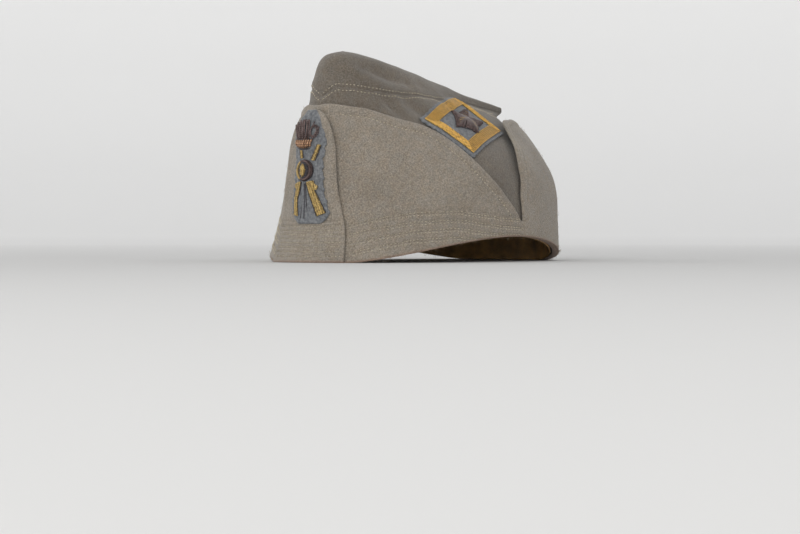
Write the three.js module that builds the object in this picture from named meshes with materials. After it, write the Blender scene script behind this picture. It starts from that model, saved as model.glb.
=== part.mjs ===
// Military side cap: a folded wool cap with side flaps, a rear flap, a small turned-up front flap,
// a front badge and a rank patch on the wearer's left side.
// Millimetres, +Z up. The front of the cap faces -Y and the wearer's left is +X.
import * as THREE from 'three';
import { mergeVertices } from 'three/addons/utils/BufferGeometryUtils.js';

// Driving sizes
const WOOL = 1.8;
const FELT = 1.0;
const LEATHER = 1.0;
const PLY_GAP = 0.8;
const SEAM_GAP = 0.3;
const RIM_FOOT = 1.8;
const FRONT_FLAP_ANGLE = 20.3;
const FRONT_FLAP_TAPER = 2.2;
const FRONT_FLAP_CORNER = 2.1;
const FRONT_FLAP_TOP = 6.05;
const REAR_FLAP_STANDOFF = 2.4;
const SWEATBAND_TOP = 1.9;
// Moves the cap along Y so that the origin is under the middle of its length
const LENGTH_SHIFT = 1.756;
const DEG = Math.PI / 180;

// Rings of the crown from the rim to the ridge. front, middle and back are Y of the ring's ends and of
// its widest place, half is its half width there, nose and heel are the bluntness of its front and back
// ends (2 is an ellipse), fore and aft are its heights at the front and at the back, rise lifts it at
// mid length, and pinch is the share of its width that the back has lost.
const COLUMNS = ['front', 'middle', 'back', 'half', 'nose', 'heel', 'fore', 'aft', 'rise', 'pinch'];
const RINGS = [
  [-103.3, 5, 101, 80, 1.9, 2, 0, 0, 15.5, 0],
  [-100.3, 5, 101, 78.7, 1.8, 2, 14, 14, 13.5, 0],
  [-99, 4, 101, 76.5, 1.7, 2, 30, 29, 11, 0],
  [-98.5, 2, 100, 72.5, 1.65, 2.05, 47, 45, 7, 0],
  [-97.3, -2, 98.5, 65, 1.65, 2.05, 65, 59, 4, 0],
  [-95.5, -8, 95.5, 54, 1.68, 2.05, 79, 72, 2.5, 0],
  [-91.8, -18, 90.5, 41.5, 1.75, 2, 90, 83.5, 2, 0],
  [-89, -28, 81, 31, 2, 2, 100, 92.5, 2.5, 0.1],
  [-88.7, -31, 89, 28, 2, 2, 110, 97.2, 0.5, 0.75],
  [-86.5, -32, 91, 24, 2, 2, 118.5, 98.9, -0.5, 0.8],
  [-80.5, -33, 91, 15.5, 2, 2, 125.3, 101.3, -0.4, 0.78],
  [-69, -34, 90.5, 0, 2, 2, 128.2, 102.3, -0.4, 0.78],
].map((row) => Object.fromEntries(row.map((value, k) => [COLUMNS[k], value])));
const RIDGE = RINGS.length - 1;
// The hump near the front of the ridge: its height, and its place and spread as shares of the length
const HUMP = 1.4;
const HUMP_AT = 0.12;
const HUMP_SPREAD = 0.11;

// Upper edge of the turned-up cloth on one side: angle round the rim from the front, height in rings.
// The two rows that share a height are the foot of the open notch in front of the rear flap.
const FLAP_EDGE = [
  { angle: 0, ring: 6.3 },
  { angle: 13, ring: 6.45 },
  { angle: 26, ring: 6.32 },
  { angle: 40, ring: 6.12 },
  { angle: 48.6, ring: 5.6 },
  { angle: 56, ring: 5.32 },
  { angle: 63.5, ring: 5.13 },
  { angle: 68.5, ring: 4.11 },
  { angle: 72.5, ring: 3.37 },
  { angle: 79.5, ring: 2.13 },
  { angle: 88.9, ring: 0.8 },
  { angle: 90, ring: 0.8 },
  { angle: 91.2, ring: 1.9 },
  { angle: 95.6, ring: 3.3 },
  { angle: 98.8, ring: 3.9 },
  { angle: 105.3, ring: 4.82 },
  { angle: 116.3, ring: 5.77 },
  { angle: 140, ring: 6.3 },
  { angle: 180, ring: 6.45 },
];

const clamp = (x, low, high) => Math.min(Math.max(x, low), high);
const mix = (a, b, f) => a + (b - a) * f;
const smooth = (x, low, high) => {
  const f = clamp((x - low) / (high - low), 0, 1);
  return f * f * (3 - 2 * f);
};
const bell = (x, middle, spread) => Math.exp(-(((x - middle) / spread) ** 2));

// A ring between the rows, by a cubic curve through the table's values
function ringAt(v) {
  const at = clamp(v, 0, RIDGE);
  const i = Math.min(Math.floor(at), RIDGE - 1);
  const f = at - i;
  const row = (k) => RINGS[clamp(k, 0, RIDGE)];
  const ring = {};
  for (const key of COLUMNS) {
    const [a, b, c, d] = [row(i - 1)[key], row(i)[key], row(i + 1)[key], row(i + 2)[key]];
    const bend = (2 * a - 5 * b + 4 * c - d) * f + (3 * b - a - 3 * c + d) * f * f;
    ring[key] = 0.5 * (2 * b + (c - a) * f + bend * f);
  }
  return ring;
}

// The crown's outer face: t is the angle round the rim, v the height in rings
function crownPoint(t, v) {
  const r = ringAt(v);
  const c = Math.cos(t);
  const s = Math.sin(t);
  const blunt = c > 0 ? r.nose : r.heel;
  const reach = c > 0 ? r.middle - r.front : r.back - r.middle;
  const y = r.middle - reach * Math.sign(c) * Math.abs(c) ** (2 / blunt);
  const along = clamp((y - r.front) / (r.back - r.front), 0, 1);
  const width = Math.max(r.half, 0) * (1 - r.pinch * smooth(along, 0.35, 0.85));
  const x = width * Math.sign(s) * Math.abs(s) ** (2 / blunt);
  const inner = clamp((along - 0.045) / 0.91, 0, 1);
  const z = mix(r.fore, r.aft, along) + r.rise * Math.sin(Math.PI * inner) ** 1.1;
  return new THREE.Vector3(x, y, z + smooth(v, 8, RIDGE) * ridgeLift(along));
}

// The ridge's departure from a straight line: a hump, a softened front end and a slight sag behind
function ridgeLift(along) {
  const hump = HUMP * bell(along, HUMP_AT, HUMP_SPREAD);
  return hump - 0.7 * bell(along, 0, 0.035) - 0.5 * smooth(along, 0.45, 0.8);
}

function crownNormal(t, v) {
  const step = 1e-3;
  const round = crownPoint(t + step, v).sub(crownPoint(t - step, v));
  const up = crownPoint(t, Math.min(v + step, RIDGE)).sub(crownPoint(t, Math.max(v - step, 0)));
  const n = round.cross(up);
  if (v > RIDGE - 0.02) n.set(0, 0, 1);
  n.z *= smooth(v, 0, 0.6);
  return n.normalize();
}

// A point at depth d outside the crown's face, kept clear of the middle plane by minX
function layer(t, v, d, minX = 0) {
  const p = crownPoint(t, v);
  const side = Math.sign(p.x) || Math.sign(Math.sin(t)) || 1;
  const x = Math.abs(p.x);
  p.addScaledVector(crownNormal(t, v), d);
  if (d < 0) p.x = side * Math.max(Math.abs(p.x) * (Math.sign(p.x) === side ? 1 : 0), 0.3 * x);
  if (minX) p.x = side * Math.max(side * p.x, minX);
  return p;
}

function body(points, triangles) {
  const geometry = new THREE.BufferGeometry();
  const places = points.flatMap((p) => [p.x, p.y, p.z]);
  geometry.setAttribute('position', new THREE.Float32BufferAttribute(places, 3));
  geometry.setIndex(triangles);
  return mergeVertices(geometry, 1e-4);
}

// A closed cloth piece: place(i, j) gives [inside, outside] points of a grid of across by up cells.
// loop joins its two ends, and lid leaves out the wall along its last row, whose points meet in pairs.
function sheet(across, up, place, { loop = false, lid = false } = {}) {
  const points = [];
  const triangles = [];
  for (let i = 0; i <= across; i++) {
    for (let j = 0; j <= up; j++) points.push(...place(loop && i === across ? 0 : i, j));
  }
  const at = (i, j, face) => 2 * (i * (up + 1) + j) + face;
  const quad = (a, b, c, d) => triangles.push(a, b, c, a, c, d);
  for (let i = 0; i < across; i++) {
    for (let j = 0; j < up; j++) {
      quad(at(i, j, 1), at(i + 1, j, 1), at(i + 1, j + 1, 1), at(i, j + 1, 1));
      quad(at(i, j, 0), at(i, j + 1, 0), at(i + 1, j + 1, 0), at(i + 1, j, 0));
    }
    quad(at(i, 0, 0), at(i + 1, 0, 0), at(i + 1, 0, 1), at(i, 0, 1));
    if (!lid) quad(at(i, up, 1), at(i + 1, up, 1), at(i + 1, up, 0), at(i, up, 0));
  }
  for (let j = 0; j < up && !loop; j++) {
    quad(at(0, j, 0), at(0, j, 1), at(0, j + 1, 1), at(0, j + 1, 0));
    quad(at(across, j, 1), at(across, j, 0), at(across, j + 1, 0), at(across, j + 1, 1));
  }
  return body(points, triangles);
}

// A closed round plate: place(angle, share) gives [inside, outside] points, share 0 is its middle
function disc(sides, rings, place) {
  const points = [...place(0, 0)];
  const triangles = [];
  for (let k = 1; k <= rings; k++) {
    for (let i = 0; i < sides; i++) points.push(...place((i / sides) * 2 * Math.PI, k / rings));
  }
  const at = (k, i, face) => (k === 0 ? face : 2 + 2 * ((k - 1) * sides + (i % sides)) + face);
  for (let i = 0; i < sides; i++) {
    triangles.push(at(0, 0, 1), at(1, i, 1), at(1, i + 1, 1));
    triangles.push(at(0, 0, 0), at(1, i + 1, 0), at(1, i, 0));
    for (let k = 1; k < rings; k++) {
      const [a, b, c, d] = [[k, i], [k + 1, i], [k + 1, i + 1], [k, i + 1]];
      const f = (q, face) => at(q[0], q[1], face);
      triangles.push(f(a, 1), f(b, 1), f(c, 1), f(a, 1), f(c, 1), f(d, 1));
      triangles.push(f(a, 0), f(c, 0), f(b, 0), f(a, 0), f(d, 0), f(c, 0));
    }
    const [p, q] = [at(rings, i, 0), at(rings, i + 1, 0)];
    triangles.push(p, q, q + 1, p, q + 1, p + 1);
  }
  return body(points, triangles);
}

// Height in rings of the seam round the top piece: lowest at its front point, highest beside it
function seamRing(t) {
  const a = Math.abs(t) / DEG;
  return 6.93 + 0.57 * smooth(a, 0, 22) - 0.33 * smooth(a, 32, 70);
}

// Half the seam's gap, in rings, wider in the groove under the rear tab
function seamShare(t, v) {
  const ring = crownPoint(t, v + 0.05).distanceTo(crownPoint(t, v - 0.05)) * 10;
  return ((SEAM_GAP / 2) * (1 + 2 * smooth(Math.abs(t) / DEG, 110, 150))) / ring;
}

function flapEdgeRing(t) {
  const a = Math.abs(t) / DEG;
  const k = Math.min(FLAP_EDGE.findIndex((row) => row.angle >= a), FLAP_EDGE.length - 1);
  if (k <= 0) return FLAP_EDGE[k === 0 ? 0 : FLAP_EDGE.length - 1].ring;
  const [p, q] = [FLAP_EDGE[k - 1], FLAP_EDGE[k]];
  return mix(p.ring, q.ring, (a - p.angle) / (q.angle - p.angle));
}

// How far the turned-up cloth stands off the crown: the rear flap bows out more than the side flaps
function standoff(t, v) {
  const a = Math.abs(t) / DEG;
  const rear = smooth(a, 89, 104) * smooth(v, 0.8, 3.2);
  return PLY_GAP + REAR_FLAP_STANDOFF * rear;
}

const SIDE_STEPS = 36;
const SIDE_ROWS = 11;

function crownSide(side) {
  return sheet(SIDE_STEPS, SIDE_ROWS, (i, j) => {
    const share = side > 0 ? i / SIDE_STEPS : 1 - i / SIDE_STEPS;
    const t = side * mix(0.05, 179.95, share) * DEG;
    const top = seamRing(t);
    const v = mix(0.17, top - seamShare(t, top), j / SIDE_ROWS);
    return [layer(t, v, -WOOL, SEAM_GAP / 2), layer(t, v, 0, SEAM_GAP / 2)];
  });
}

function crownTop() {
  const steps = 56;
  const rows = 6;
  return sheet(steps, rows, (i, j) => {
    const t = mix(-180, 180, i / steps) * DEG;
    const foot = seamRing(t);
    const v = mix(foot + seamShare(t, foot), RIDGE, j / rows);
    const [inside, outside] = [layer(t, v, -WOOL), layer(t, v, 0)];
    if (j === rows) [inside.x, outside.x] = [0, 0];
    return [inside, outside];
  }, { loop: true, lid: true });
}

// The angles of the turned-up cloth's grid, closer together where its edge is steep
function curtainAngles() {
  const half = [];
  for (let a = 5; a < 62; a += 5) half.push(a);
  for (const row of FLAP_EDGE) if (row.angle > 64 && row.angle < 120) half.push(row.angle);
  for (const a of [84, 93.4, 101.5, 111, 124, 132, 140, 148, 156, 164, 172]) half.push(a);
  half.sort((a, b) => a - b);
  return [-180, ...half.map((a) => -a).reverse(), ...half, 180];
}

// The turned-up cloth: a foot folded under the crown's wall, the band, the side and rear flaps
function curtain() {
  const angles = curtainAngles();
  const rows = 11;
  return sheet(angles.length - 1, rows, (i, j) => {
    const t = angles[i] * DEG;
    const foot = RIM_FOOT / 14;
    const high = mix(foot + 1e-3, flapEdgeRing(t), (j - 2) / (rows - 2));
    const v = j === 0 ? 0 : j < 3 ? foot + (j - 1) * 1e-3 : high;
    const off = standoff(t, v);
    return [layer(t, v, j < 2 ? -WOOL : off), layer(t, v, off + WOOL)];
  }, { loop: true });
}

// Depth of the front flap's inner face: over the side flaps' front ends
const FLAP_DEPTH = PLY_GAP + WOOL + PLY_GAP;

function frontFlap() {
  const steps = 12;
  const rows = 11;
  return sheet(steps, rows, (i, j) => {
    const a = mix(-1, 1, i / steps) * 0.999;
    const round = (1 - Math.abs(a) ** 2.2) ** (1 / 2.2);
    const top = FRONT_FLAP_TOP - FRONT_FLAP_CORNER * (1 - round);
    const v = (top * j) / rows;
    const t = a * (FRONT_FLAP_ANGLE - FRONT_FLAP_TAPER * smooth(v, 1.2, 3.2)) * DEG;
    return [layer(t, v, FLAP_DEPTH), layer(t, v, FLAP_DEPTH + WOOL)];
  });
}

function sweatband() {
  const steps = 50;
  const rows = 3;
  return sheet(steps, rows, (i, j) => {
    const t = mix(-180, 180, i / steps) * DEG;
    const v = mix(0.02, SWEATBAND_TOP, j / rows);
    const d = -WOOL - PLY_GAP;
    return [layer(t, v, d - LEATHER), layer(t, v, d)];
  }, { loop: true });
}

// The angle and ring of the layer at depth d straight behind a point of a plane with directions a and b
function behind(point, a, b, guess, d = 0) {
  let [t, v] = guess;
  for (let k = 0; k < 12; k++) {
    const miss = crownPoint(t, v).addScaledVector(crownNormal(t, v), d).sub(point);
    const dt = crownPoint(t + 1e-4, v).sub(crownPoint(t - 1e-4, v)).divideScalar(2e-4);
    const dv = crownPoint(t, v + 1e-4).sub(crownPoint(t, v - 1e-4)).divideScalar(2e-4);
    const [p, q, r, s] = [dt.dot(a), dv.dot(a), dt.dot(b), dv.dot(b)];
    const det = p * s - q * r;
    t -= (s * miss.dot(a) - q * miss.dot(b)) / det;
    v -= (p * miss.dot(b) - r * miss.dot(a)) / det;
  }
  return [t, v];
}

// The front badge is laid out in the plane Y = 0 by X and height, seen from the front
const AHEAD = new THREE.Vector3(1, 0, 0);
const UP = new THREE.Vector3(0, 0, 1);
function onFront(x, z, d) {
  const [t, v] = behind(new THREE.Vector3(x, 0, z), AHEAD, UP, [x / 90, clamp(z / 16, 0.2, 6)], d);
  return layer(t, v, d);
}
const BADGE_DEPTH = FLAP_DEPTH + WOOL + SEAM_GAP;
const BADGE_FACE = BADGE_DEPTH + FELT + SEAM_GAP;

// The felt behind the badge, seen from the front: X of its two edges at each height
const FELT_OUTLINE = [
  { z: 23, right: -2.6, left: 11.5 },
  { z: 25.1, right: -6.6, left: 15.6 },
  { z: 28.9, right: -8.8, left: 17.4 },
  { z: 32.7, right: -9.9, left: 16.5 },
  { z: 37.8, right: -9.6, left: 14.8 },
  { z: 43.2, right: -8.5, left: 13.5 },
  { z: 48.8, right: -8, left: 13.2 },
  { z: 54.7, right: -7.9, left: 12.8 },
  { z: 60.6, right: -7.8, left: 12.5 },
  { z: 66.1, right: -8, left: 13.1 },
  { z: 70.9, right: -9.4, left: 13.6 },
  { z: 77.8, right: -10.7, left: 13.1 },
  { z: 83.4, right: -9.3, left: 11.4 },
  { z: 87.3, right: -6.3, left: 8.4 },
  { z: 91.2, right: -2.2, left: 3.9 },
];

function badgeBacking() {
  const steps = 6;
  return sheet(steps, FELT_OUTLINE.length - 1, (i, j) => {
    const { z, right, left } = FELT_OUTLINE[j];
    const x = mix(right, left, i / steps);
    return [onFront(x, z, BADGE_DEPTH), onFront(x, z, BADGE_DEPTH + FELT)];
  });
}

// A straight embroidered bar from one point to another: each end is [x, z, half width]
function badgeBar([x0, z0, half0], [x1, z1, half1], thick) {
  const steps = 5;
  const length = Math.hypot(x1 - x0, z1 - z0);
  const [ux, uz] = [(x1 - x0) / length, (z1 - z0) / length];
  return sheet(2, steps, (i, j) => {
    const f = j / steps;
    const aside = (i - 1) * mix(half0, half1, f);
    const [x, z] = [mix(x0, x1, f) + uz * aside, mix(z0, z1, f) - ux * aside];
    const crest = i === 1 ? thick : thick * 0.55;
    return [onFront(x, z, BADGE_FACE), onFront(x, z, BADGE_FACE + crest)];
  });
}

function badgeDisc(x, z, wide, high, outline, profile) {
  return disc(20, 3, (angle, share) => {
    const size = outline(angle) * share;
    const [px, pz] = [x + wide * size * Math.cos(angle), z + high * size * Math.sin(angle)];
    return [onFront(px, pz, BADGE_FACE), onFront(px, pz, BADGE_FACE + profile(share))];
  });
}

// Corners of the rank patch on the wearer's left side: rear, top, front and bottom
const PATCH = {
  top: new THREE.Vector3(18.3, 16.5, 105.7),
  rear: new THREE.Vector3(49, 27.4, 79.8),
  bottom: new THREE.Vector3(64.6, -23.5, 62.9),
  front: new THREE.Vector3(41, -46.2, 86.2),
};
const PATCH_MIDDLE = PATCH.top.clone().add(PATCH.rear).add(PATCH.bottom).add(PATCH.front).divideScalar(4);
const PATCH_ALONG = PATCH.top.clone().add(PATCH.rear).sub(PATCH.bottom).sub(PATCH.front).normalize();
const PATCH_DOWN = PATCH.bottom.clone().add(PATCH.rear).sub(PATCH.front).sub(PATCH.top);
PATCH_DOWN.addScaledVector(PATCH_ALONG, -PATCH_DOWN.dot(PATCH_ALONG)).normalize();

// A place of the patch: along and down run from -1 to 1 over its width and height
function onPatch(along, down, d) {
  const [f, g] = [(along + 1) / 2, (down + 1) / 2];
  const edge = PATCH.front.clone().lerp(PATCH.top, f);
  const point = edge.lerp(PATCH.bottom.clone().lerp(PATCH.rear, f), g);
  const [t, v] = behind(point, PATCH_ALONG, PATCH_DOWN, [90 * DEG, 5.6]);
  return layer(t, v, d);
}
const PATCH_DEPTH = SEAM_GAP;
const BRAID_DEPTH = PATCH_DEPTH + FELT + SEAM_GAP;

function patchPlate() {
  const steps = 12;
  return sheet(steps, steps, (i, j) => {
    const [a, b] = [mix(-1, 1, i / steps), mix(1, -1, j / steps)];
    return [onPatch(a, b, PATCH_DEPTH), onPatch(a, b, PATCH_DEPTH + FELT)];
  });
}

// The braid runs round the patch as a closed frame: outer and inner are its sizes along and down
function patchBraid(outer, inner, thick) {
  const perSide = 6;
  const corners = [[-1, -1], [-1, 1], [1, 1], [1, -1]];
  return sheet(4 * perSide, 2, (i, j) => {
    const side = Math.floor(i / perSide) % 4;
    const f = (i % perSide) / perSide;
    const [p, q] = [corners[side], corners[(side + 1) % 4]];
    const a = mix(p[0], q[0], f) * mix(outer[0], inner[0], j / 2);
    const b = mix(p[1], q[1], f) * mix(outer[1], inner[1], j / 2);
    const crest = j === 1 ? thick : thick * 0.6;
    return [onPatch(a, b, BRAID_DEPTH), onPatch(a, b, BRAID_DEPTH + crest)];
  }, { loop: true });
}

// A star with five blunt arms, along and down are the reach of its arms and turn is its turn
function patchStar(along, down, turn) {
  return disc(20, 2, (angle, share) => {
    const reach = mix(0.62, 1, Math.cos(2.5 * angle) ** 2) * share;
    const a = along * reach * Math.cos(angle + turn);
    const b = -down * reach * Math.sin(angle + turn);
    return [onPatch(a, b, BRAID_DEPTH + 0.3), onPatch(a, b, BRAID_DEPTH + 1.6 - 0.6 * share)];
  });
}

const wool = (color) => new THREE.MeshStandardMaterial({ color, roughness: 0.95, metalness: 0 });
const thread = (color, metalness) => new THREE.MeshStandardMaterial({ color, roughness: 0.5, metalness });
const CROWN_WOOL = () => wool('#6f6b61');
const FLAP_WOOL = () => wool('#878071');
const FELT_BLUE = () => wool('#6f7e8c');
const GOLD = () => thread('#c49a3a', 0.6);
const DARK = () => thread('#4a3838', 0.1);

const cap = new THREE.Group();
cap.name = 'military_side_cap';
cap.position.y = LENGTH_SHIFT;
function add(name, geometry, material) {
  const mesh = new THREE.Mesh(geometry, material);
  mesh.name = name;
  cap.add(mesh);
}

const round = () => 1;
const dome = (height) => (share) => height * Math.sqrt(Math.max(1 - 0.75 * share * share, 0));
const lobes = (angle) => 1 + 0.07 * Math.cos(5 * angle);

add('crown_side_left', crownSide(1), CROWN_WOOL());
add('crown_side_right', crownSide(-1), CROWN_WOOL());
add('crown_top', crownTop(), CROWN_WOOL());
add('curtain', curtain(), FLAP_WOOL());
add('front_flap', frontFlap(), FLAP_WOOL());
add('sweatband', sweatband(), wool('#8a6a3a'));
add('badge_backing', badgeBacking(), FELT_BLUE());
add('badge_plume', badgeDisc(0.4, 79, 9.6, 6.8, lobes, dome(2.6)), DARK());
add('badge_plume_band', badgeBar([-6.4, 69.4, 1.9], [6.4, 69, 1.9], 1.8), GOLD());
add('badge_boss', badgeDisc(0.9, 55.4, 6.4, 6.4, round, dome(3)), DARK());
add('badge_bar_upper_left', badgeBar([6.9, 61.6, 1], [10.2, 69.2, 0.8], 1.2), GOLD());
add('badge_bar_upper_right', badgeBar([-1.2, 62.6, 0.9], [-1.9, 66, 0.9], 1.2), GOLD());
add('badge_bar_lower_left', badgeBar([13, 28.6, 2.5], [5.2, 46.8, 1.9], 1.4), GOLD());
add('badge_bar_lower_right', badgeBar([-5.6, 28.4, 1.8], [-2.6, 47, 1.3], 1.4), GOLD());
add('rank_backing', patchPlate(), FELT_BLUE());
add('rank_border', patchBraid([0.9, 0.88], [0.74, 0.56], 1.1), thread('#d9a42c', 0.4));
add('rank_star', patchStar(0.6, 0.5, 33 * DEG), DARK());

export default cap;
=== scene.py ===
"""Military side cap, dressed for the render: wool panels, turned-up flaps, stitching, badge and patch."""
import math

import bmesh
import bpy
import numpy as np
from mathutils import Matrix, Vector


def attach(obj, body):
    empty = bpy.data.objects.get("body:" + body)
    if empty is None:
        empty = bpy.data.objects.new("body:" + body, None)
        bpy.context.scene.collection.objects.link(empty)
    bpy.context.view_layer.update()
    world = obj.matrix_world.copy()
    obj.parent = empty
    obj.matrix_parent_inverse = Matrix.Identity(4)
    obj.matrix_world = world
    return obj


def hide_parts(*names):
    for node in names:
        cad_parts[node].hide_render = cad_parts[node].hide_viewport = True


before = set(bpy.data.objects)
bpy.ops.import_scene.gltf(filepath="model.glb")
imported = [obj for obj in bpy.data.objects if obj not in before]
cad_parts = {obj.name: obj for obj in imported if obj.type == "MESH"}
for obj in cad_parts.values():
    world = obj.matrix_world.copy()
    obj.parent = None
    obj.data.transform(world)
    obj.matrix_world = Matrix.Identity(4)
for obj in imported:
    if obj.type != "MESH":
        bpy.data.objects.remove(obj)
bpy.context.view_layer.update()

bl_info = {
    "name": "Military Side Cap",
    "version": (1, 1, 0),
    "blender": (4, 5, 0),
    "location": "View3D > Sidebar > Side Cap",
    "description": "Builds the wool, stitching, embroidery and stage of a military side cap",
    "category": "Object",
}

# Shapes are worked out in millimetres in the part's own frame, and meshes are written in metres. The front
# flap's angle and taper are in degrees, and its top and corner and the sweatband's top in rings of the crown.
MM = 0.001
LENGTH_SHIFT = 1.756
WOOL = 1.8
FELT = 1.0
LEATHER = 1.0
PLY_GAP = 0.8
SEAM_GAP = 0.3
RIM_FOOT = 1.8
FRONT_FLAP_ANGLE = 20.3
FRONT_FLAP_TAPER = 2.2
FRONT_FLAP_CORNER = 2.1
FRONT_FLAP_BLUNT = 2.2
FRONT_FLAP_TOP = 6.05
REAR_FLAP_STANDOFF = 2.4
SWEATBAND_TOP = 1.9
FLAP_DEPTH = PLY_GAP + WOOL + PLY_GAP
BADGE_DEPTH = FLAP_DEPTH + WOOL + SEAM_GAP
BADGE_FACE = BADGE_DEPTH + FELT
PATCH_DEPTH = SEAM_GAP
BRAID_DEPTH = PATCH_DEPTH + FELT
RING_PITCH = 14.0
RIM_RADIUS = 92.0

# The crown's rings from the rim to the ridge. Each has the Y of its front, widest place and back, the
# half width there, the bluntness of its front and back ends, its height at the two ends, the rise at mid
# length, and the share of its width that the back has lost.
RING_COLUMNS = "front middle back half nose heel fore aft rise pinch".split()
RINGS = np.array([
    (-103.3, 5, 101, 80, 1.9, 2, 0, 0, 15.5, 0),
    (-100.3, 5, 101, 78.7, 1.8, 2, 14, 14, 13.5, 0),
    (-99, 4, 101, 76.5, 1.7, 2, 30, 29, 11, 0),
    (-98.5, 2, 100, 72.5, 1.65, 2.05, 47, 45, 7, 0),
    (-97.3, -2, 98.5, 65, 1.65, 2.05, 65, 59, 4, 0),
    (-95.5, -8, 95.5, 54, 1.68, 2.05, 79, 72, 2.5, 0),
    (-91.8, -18, 90.5, 41.5, 1.75, 2, 90, 83.5, 2, 0),
    (-89, -28, 81, 31, 2, 2, 100, 92.5, 2.5, 0.1),
    (-88.7, -31, 89, 28, 2, 2, 110, 97.2, 0.5, 0.75),
    (-86.5, -32, 91, 24, 2, 2, 118.5, 98.9, -0.5, 0.8),
    (-80.5, -33, 91, 15.5, 2, 2, 125.3, 101.3, -0.4, 0.78),
    (-69, -34, 90.5, 0, 2, 2, 128.2, 102.3, -0.4, 0.78),
])
RIDGE = len(RINGS) - 1
# The hump near the front of the ridge: its height, and its place and spread as shares of the length
HUMP = 1.4
HUMP_AT = 0.12
HUMP_SPREAD = 0.11

# Upper edge of the turned-up cloth: angle round the rim from the front, height in rings. The two lowest
# points are the foot of the open notch in front of the rear flap.
FLAP_EDGE = np.array([
    (0, 6.3), (13, 6.45), (26, 6.32), (40, 6.12), (48.6, 5.6), (56, 5.32), (63.5, 5.13), (68.5, 4.11),
    (72.5, 3.37), (79.5, 2.13), (88.9, 0.8), (90, 0.8), (91.2, 1.9), (95.6, 3.3), (98.8, 3.9),
    (105.3, 4.82), (116.3, 5.77), (140, 6.3), (180, 6.45),
])

# Heights in rings below a flap's edge, close together where the cloth rounds off
EDGE_STEPS = np.array([0.85, 0.55, 0.32, 0.16, 0.06, 0.0]) * WOOL / RING_PITCH

# Dents of the crown: side of the cap, two ends in Y and Z, half width across, depth
DENTS = [
    (1, -84, 113, -74, 105, 5.0, 2.0),
    (1, -70, 117, -41, 109.5, 4.0, 2.8),
    (1, -34, 110, -18, 105, 5.0, 1.3),
    (1, -61, 98, -56, 90, 3.2, 1.9),
    (1, -46, 97, -36, 88, 4.2, 1.8),
    (1, -14, 97, -6, 89, 3.8, 1.4),
    (-1, -80, 113, -66, 101, 5.5, 2.0),
    (-1, -52, 112, -37, 99, 5.0, 2.2),
    (-1, -30, 100, -8, 92, 6.0, 1.4),
    (-1, 12, 104, 40, 98, 5.0, 1.0),
    (1, 34, 70, 46, 38, 9.0, 1.2),
    (1, 74, 66, 80, 30, 7.0, 1.1),
    (-1, 20, 66, 34, 34, 9.0, 1.2),
    (-1, 70, 64, 80, 28, 8.0, 1.1),
]

# Stitched rows of the side band: height in rings of the top row by angle, then rows and their pitch
BAND_ROW = np.array([(17, 1.5), (21.7, 1.52), (30.7, 1.64), (45.6, 1.66), (60.5, 1.45), (69.5, 1.14),
                     (78.5, 0.92), (88.5, 0.84)])
BAND_ROWS = 4
BAND_STEP = 0.36
# The front flap's rows in rings, and how far in from their edges the side and rear flaps are stitched
FRONT_ROWS = 1.46 - 0.165 * np.arange(8)
SIDE_EDGE_INSET, REAR_EDGE_INSET = 6.0, 4.0

# The felt behind the badge, seen from the front: height, X of its right and left edges
FELT_OUTLINE = np.array([
    (23, -2.6, 11.5), (25.1, -6.6, 15.6), (28.9, -8.8, 17.4), (32.7, -9.9, 16.5), (37.8, -9.6, 14.8),
    (43.2, -8.5, 13.5), (48.8, -8, 13.2), (54.7, -7.9, 12.8), (60.6, -7.8, 12.5), (66.1, -8, 13.1),
    (70.9, -9.4, 13.6), (77.8, -10.7, 13.1), (83.4, -9.3, 11.4), (87.3, -6.3, 8.4), (91.2, -2.2, 3.9),
])

# The middle of the badge's boss, seen from the front
BOSS_X, BOSS_Z = 1.0, 54.8

# The rank patch's corners on the wearer's left side, and half its length and half its height
PATCH = {
    "top": (18.3, 16.5, 105.7), "rear": (49, 27.4, 79.8), "bottom": (64.6, -23.5, 62.9),
    "front": (41, -46.2, 86.2),
}
PATCH = {name: np.array(corner, float) + [0, LENGTH_SHIFT, 0] for name, corner in PATCH.items()}
PATCH_HALF = np.array([30.0, 20.0])

# The photograph's frame: its size in pixels, where the cap's middle is seen, and the pixels to a millimetre
IMAGE_WIDE, IMAGE_HIGH = 800, 534
CAP_SEEN_AT = (413.5, 160.0)
PIXELS_PER_MM = 1.575
VIEW_AZIMUTH, VIEW_ELEVATION = 40.0, 1.0
LENS = 85.0
# Half the cap's height, in metres
CAP_MIDDLE = 0.064


def srgb(code):
    """Linear red, green and blue of an sRGB hex colour."""
    parts = [int(code[i:i + 2], 16) / 255 for i in (1, 3, 5)]
    return tuple(c / 12.92 if c <= 0.04045 else ((c + 0.055) / 1.055) ** 2.4 for c in parts)


def toned(colour, factor, warm=0.0):
    """A linear colour times a factor, moved towards red by warm, with its alpha."""
    r, g, b = (min(c * factor, 1.0) for c in colour)
    return (min(r * (1 + warm), 1.0), g, b * (1 - warm), 1.0)


def smooth(x, low, high):
    """A smooth step from 0 at low to 1 at high: 3f squared less 2f cubed."""
    f = np.clip((x - low) / (high - low), 0, 1)
    return f * f * (3 - 2 * f)


def bell(x, middle, spread):
    """A bell curve of height 1."""
    return np.exp(-(((x - middle) / spread) ** 2))


def unit(a):
    """Vectors of length 1."""
    return a / np.maximum(np.linalg.norm(a, axis=-1, keepdims=True), 1e-12)


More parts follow.
